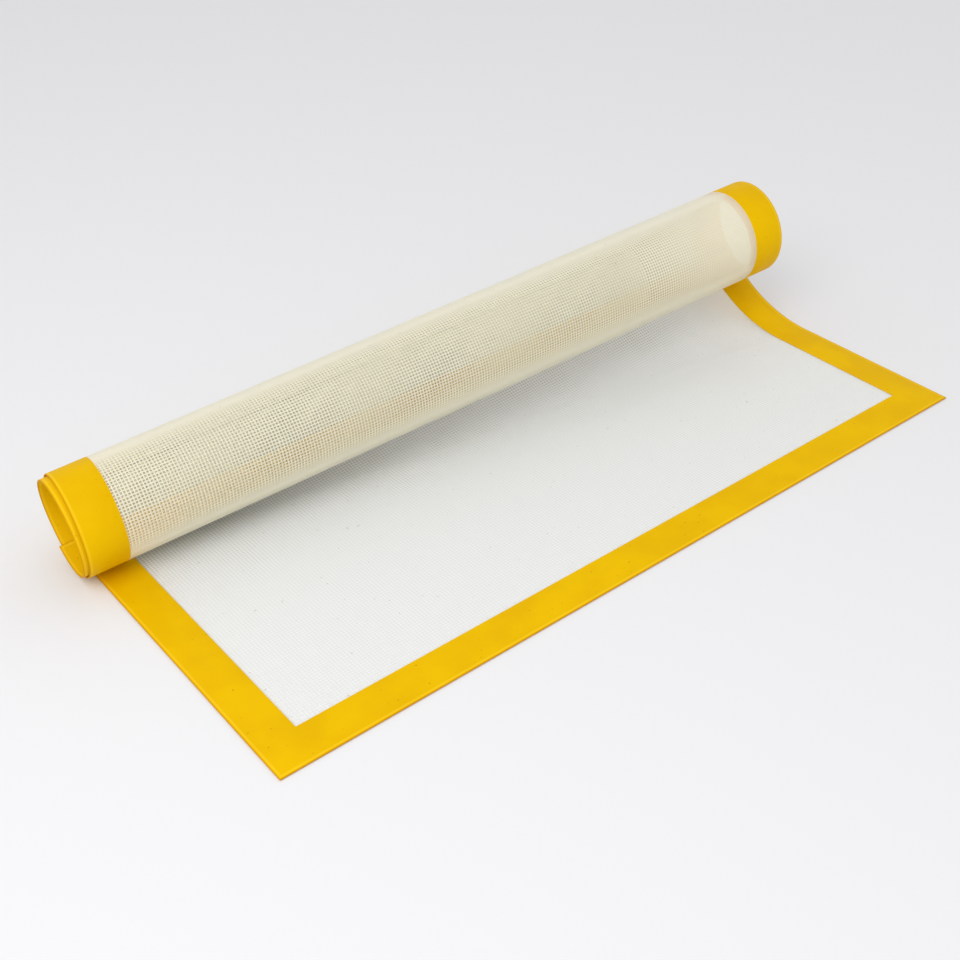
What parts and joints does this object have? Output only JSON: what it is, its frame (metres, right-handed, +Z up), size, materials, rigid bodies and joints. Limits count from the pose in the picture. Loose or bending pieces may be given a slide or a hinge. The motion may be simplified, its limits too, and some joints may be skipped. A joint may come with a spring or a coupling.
{
  "type": "silicone pastry mat",
  "caption": "Rectangular silicone baking mat on woven glass cloth with a coloured border, lying flat at the front and rolled up behind. The roll unrolls by half a turn.",
  "frame": {"origin": "on the underside, in the middle of the part of the mat that lies flat", "axes": "+X along the front edge to the right, +Y from the front edge towards the roll, +Z up"},
  "size_m": [0.4095, 0.1832, 0.0744],
  "materials": {
    "border_silicone": "satin",
    "clear_silicone": "satin"
  },
  "bodies": {
    "flat": {"flat_cloth": "border_silicone", "flat_facing": "clear_silicone"},
    "rise_01": {"rise_01_cloth": "border_silicone", "rise_01_facing": "clear_silicone"},
    "rise_02": {"rise_02_cloth": "border_silicone", "rise_02_facing": "clear_silicone"},
    "rise_03": {"rise_03_cloth": "border_silicone", "rise_03_facing": "clear_silicone"},
    "rise_04": {"rise_04_cloth": "border_silicone", "rise_04_facing": "clear_silicone"},
    "rise_05": {"rise_05_cloth": "border_silicone", "rise_05_facing": "clear_silicone"},
    "rise_06": {"rise_06_cloth": "border_silicone", "rise_06_facing": "clear_silicone"},
    "rise_07": {"rise_07_cloth": "border_silicone", "rise_07_facing": "clear_silicone"},
    "rise_08": {"rise_08_cloth": "border_silicone", "rise_08_facing": "clear_silicone"},
    "roll_01": {"roll_01_cloth": "border_silicone", "roll_01_facing": "clear_silicone"},
    "roll_02": {"roll_02_cloth": "border_silicone", "roll_02_facing": "clear_silicone"},
    "roll_03": {"roll_03_cloth": "border_silicone", "roll_03_facing": "clear_silicone"},
    "roll_04": {"roll_04_cloth": "border_silicone", "roll_04_facing": "clear_silicone"},
    "roll_05": {"roll_05_cloth": "border_silicone", "roll_05_facing": "clear_silicone"},
    "roll_06": {"roll_06_cloth": "border_silicone", "roll_06_facing": "clear_silicone"},
    "roll_07": {"roll_07_cloth": "border_silicone", "roll_07_facing": "clear_silicone"},
    "roll_08": {"roll_08_cloth": "border_silicone", "roll_08_facing": "clear_silicone"},
    "roll_09": {"roll_09_cloth": "border_silicone", "roll_09_facing": "clear_silicone"},
    "roll_10": {"roll_10_cloth": "border_silicone", "roll_10_facing": "clear_silicone"},
    "coil": {"coil_cloth": "border_silicone", "coil_facing": "clear_silicone", "end_border": "border_silicone"}
  },
  "joints": [
    {"name": "rise_01_unroll", "type": "hinge", "parent": "flat", "child": "rise_01", "pos_m": [0, 0.0626, 0], "axis": [-0.9867, 0.1628, 0], "range_deg": [0, 4.38]},
    {"name": "rise_02_unroll", "type": "hinge", "parent": "rise_01", "child": "rise_02", "pos_m": [0, 0.07028, 0.00058], "axis": [-0.9896, 0.144, -0.0015], "range_deg": [0, 8.75]},
    {"name": "rise_03_unroll", "type": "hinge", "parent": "rise_02", "child": "rise_03", "pos_m": [-0.00004, 0.07778, 0.00231], "axis": [-0.9921, 0.1256, -0.0058], "range_deg": [0, 8.75]},
    {"name": "rise_04_unroll", "type": "hinge", "parent": "rise_03", "child": "rise_04", "pos_m": [-0.00012, 0.08493, 0.00515], "axis": [-0.9941, 0.1078, -0.013], "range_deg": [0, 8.75]},
    {"name": "rise_05_unroll", "type": "hinge", "parent": "rise_04", "child": "rise_05", "pos_m": [-0.00027, 0.09157, 0.00903], "axis": [-0.9956, 0.0912, -0.0228], "range_deg": [0, 8.75]},
    {"name": "rise_06_unroll", "type": "hinge", "parent": "rise_05", "child": "rise_06", "pos_m": [-0.0005, 0.09754, 0.01387], "axis": [-0.9965, 0.0762, -0.0351], "range_deg": [0, 8.69]},
    {"name": "rise_07_unroll", "type": "hinge", "parent": "rise_06", "child": "rise_07", "pos_m": [-0.00081, 0.10254, 0.01937], "axis": [-0.9968, 0.064, -0.0487], "range_deg": [0, 8.63]},
    {"name": "rise_08_unroll", "type": "hinge", "parent": "rise_07", "child": "rise_08", "pos_m": [-0.00113, 0.10582, 0.02428], "axis": [-0.9967, 0.0581, -0.0575], "range_deg": [0, 8.79]},
    {"name": "roll_01_unroll", "type": "hinge", "parent": "rise_08", "child": "roll_01", "pos_m": [-0.00141, 0.10761, 0.02812], "axis": [-0.9966, 0.057, -0.0597], "range_deg": [0, 10.32]},
    {"name": "roll_02_unroll", "type": "hinge", "parent": "roll_01", "child": "roll_02", "pos_m": [-0.00182, 0.10889, 0.03304], "axis": [-0.9966, 0.0569, -0.0603], "range_deg": [0, 11.6]},
    {"name": "roll_03_unroll", "type": "hinge", "parent": "roll_02", "child": "roll_03", "pos_m": [-0.00229, 0.10916, 0.03811], "axis": [-0.9965, 0.0568, -0.0609], "range_deg": [0, 11.6]},
    {"name": "roll_04_unroll", "type": "hinge", "parent": "roll_03", "child": "roll_04", "pos_m": [-0.00282, 0.1084, 0.04312], "axis": [-0.9965, 0.0569, -0.0615], "range_deg": [0, 11.6]},
    {"name": "roll_05_unroll", "type": "hinge", "parent": "roll_04", "child": "roll_05", "pos_m": [-0.00338, 0.10665, 0.04786], "axis": [-0.9964, 0.0571, -0.062], "range_deg": [0, 11.6]},
    {"name": "roll_06_unroll", "type": "hinge", "parent": "roll_05", "child": "roll_06", "pos_m": [-0.00397, 0.10399, 0.05213], "axis": [-0.9964, 0.0574, -0.0625], "range_deg": [0, 11.6]},
    {"name": "roll_07_unroll", "type": "hinge", "parent": "roll_06", "child": "roll_07", "pos_m": [-0.00457, 0.10052, 0.05578], "axis": [-0.9963, 0.0579, -0.063], "range_deg": [0, 11.6]},
    {"name": "roll_08_unroll", "type": "hinge", "parent": "roll_07", "child": "roll_08", "pos_m": [-0.00516, 0.09639, 0.05864], "axis": [-0.9963, 0.0584, -0.0633], "range_deg": [0, 11.6]},
    {"name": "roll_09_unroll", "type": "hinge", "parent": "roll_08", "child": "roll_09", "pos_m": [-0.00571, 0.09178, 0.0606], "axis": [-0.9962, 0.0589, -0.0635], "range_deg": [0, 11.6]},
    {"name": "roll_10_unroll", "type": "hinge", "parent": "roll_09", "child": "roll_10", "pos_m": [-0.00622, 0.08686, 0.0616], "axis": [-0.9962, 0.0595, -0.0637], "range_deg": [0, 11.6]},
    {"name": "coil_unroll", "type": "hinge", "parent": "roll_10", "child": "coil", "pos_m": [-0.00668, 0.08185, 0.06158], "axis": [-0.9962, 0.0601, -0.0637], "range_deg": [0, 8.3]}
  ]
}
